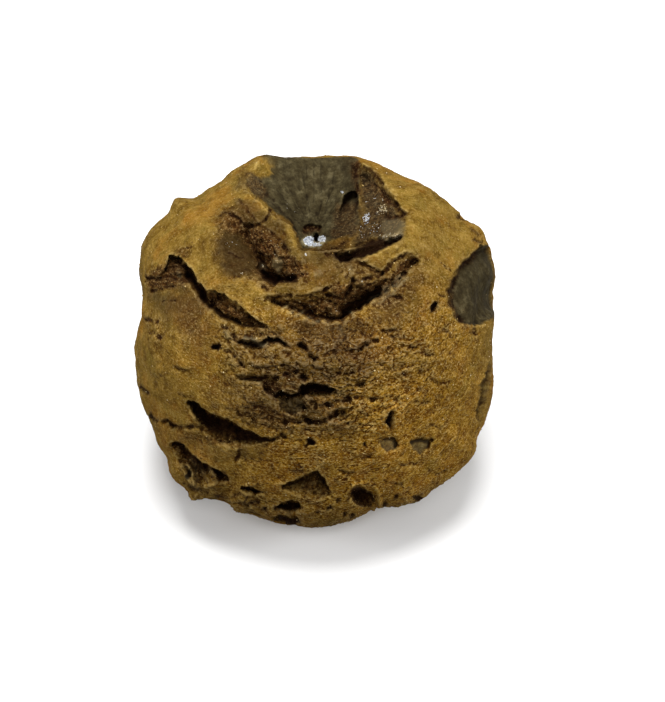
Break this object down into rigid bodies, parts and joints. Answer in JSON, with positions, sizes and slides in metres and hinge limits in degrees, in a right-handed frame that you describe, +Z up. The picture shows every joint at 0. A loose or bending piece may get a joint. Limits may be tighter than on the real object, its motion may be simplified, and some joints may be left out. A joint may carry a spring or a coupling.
{
  "type": "fossil conifer cone",
  "caption": "squat round fossil conifer cone in ochre ironstone, with a crater round its hollow axis on top, gaping scale edges round its sides and a worn flat that it stands on",
  "frame": {"origin": "middle of the worn flat that the cone stands on", "axes": "+Z up along the cone's axis, out of the crater; +X to the right and -Y towards the front, the side with the long gaping slots"},
  "size_m": [0.04, 0.0392, 0.0353],
  "materials": {
    "ochre_stone": "rough, granular, dull"
  },
  "bodies": {
    "root": {"fossil_cone": "ochre_stone"}
  },
  "joints": []
}
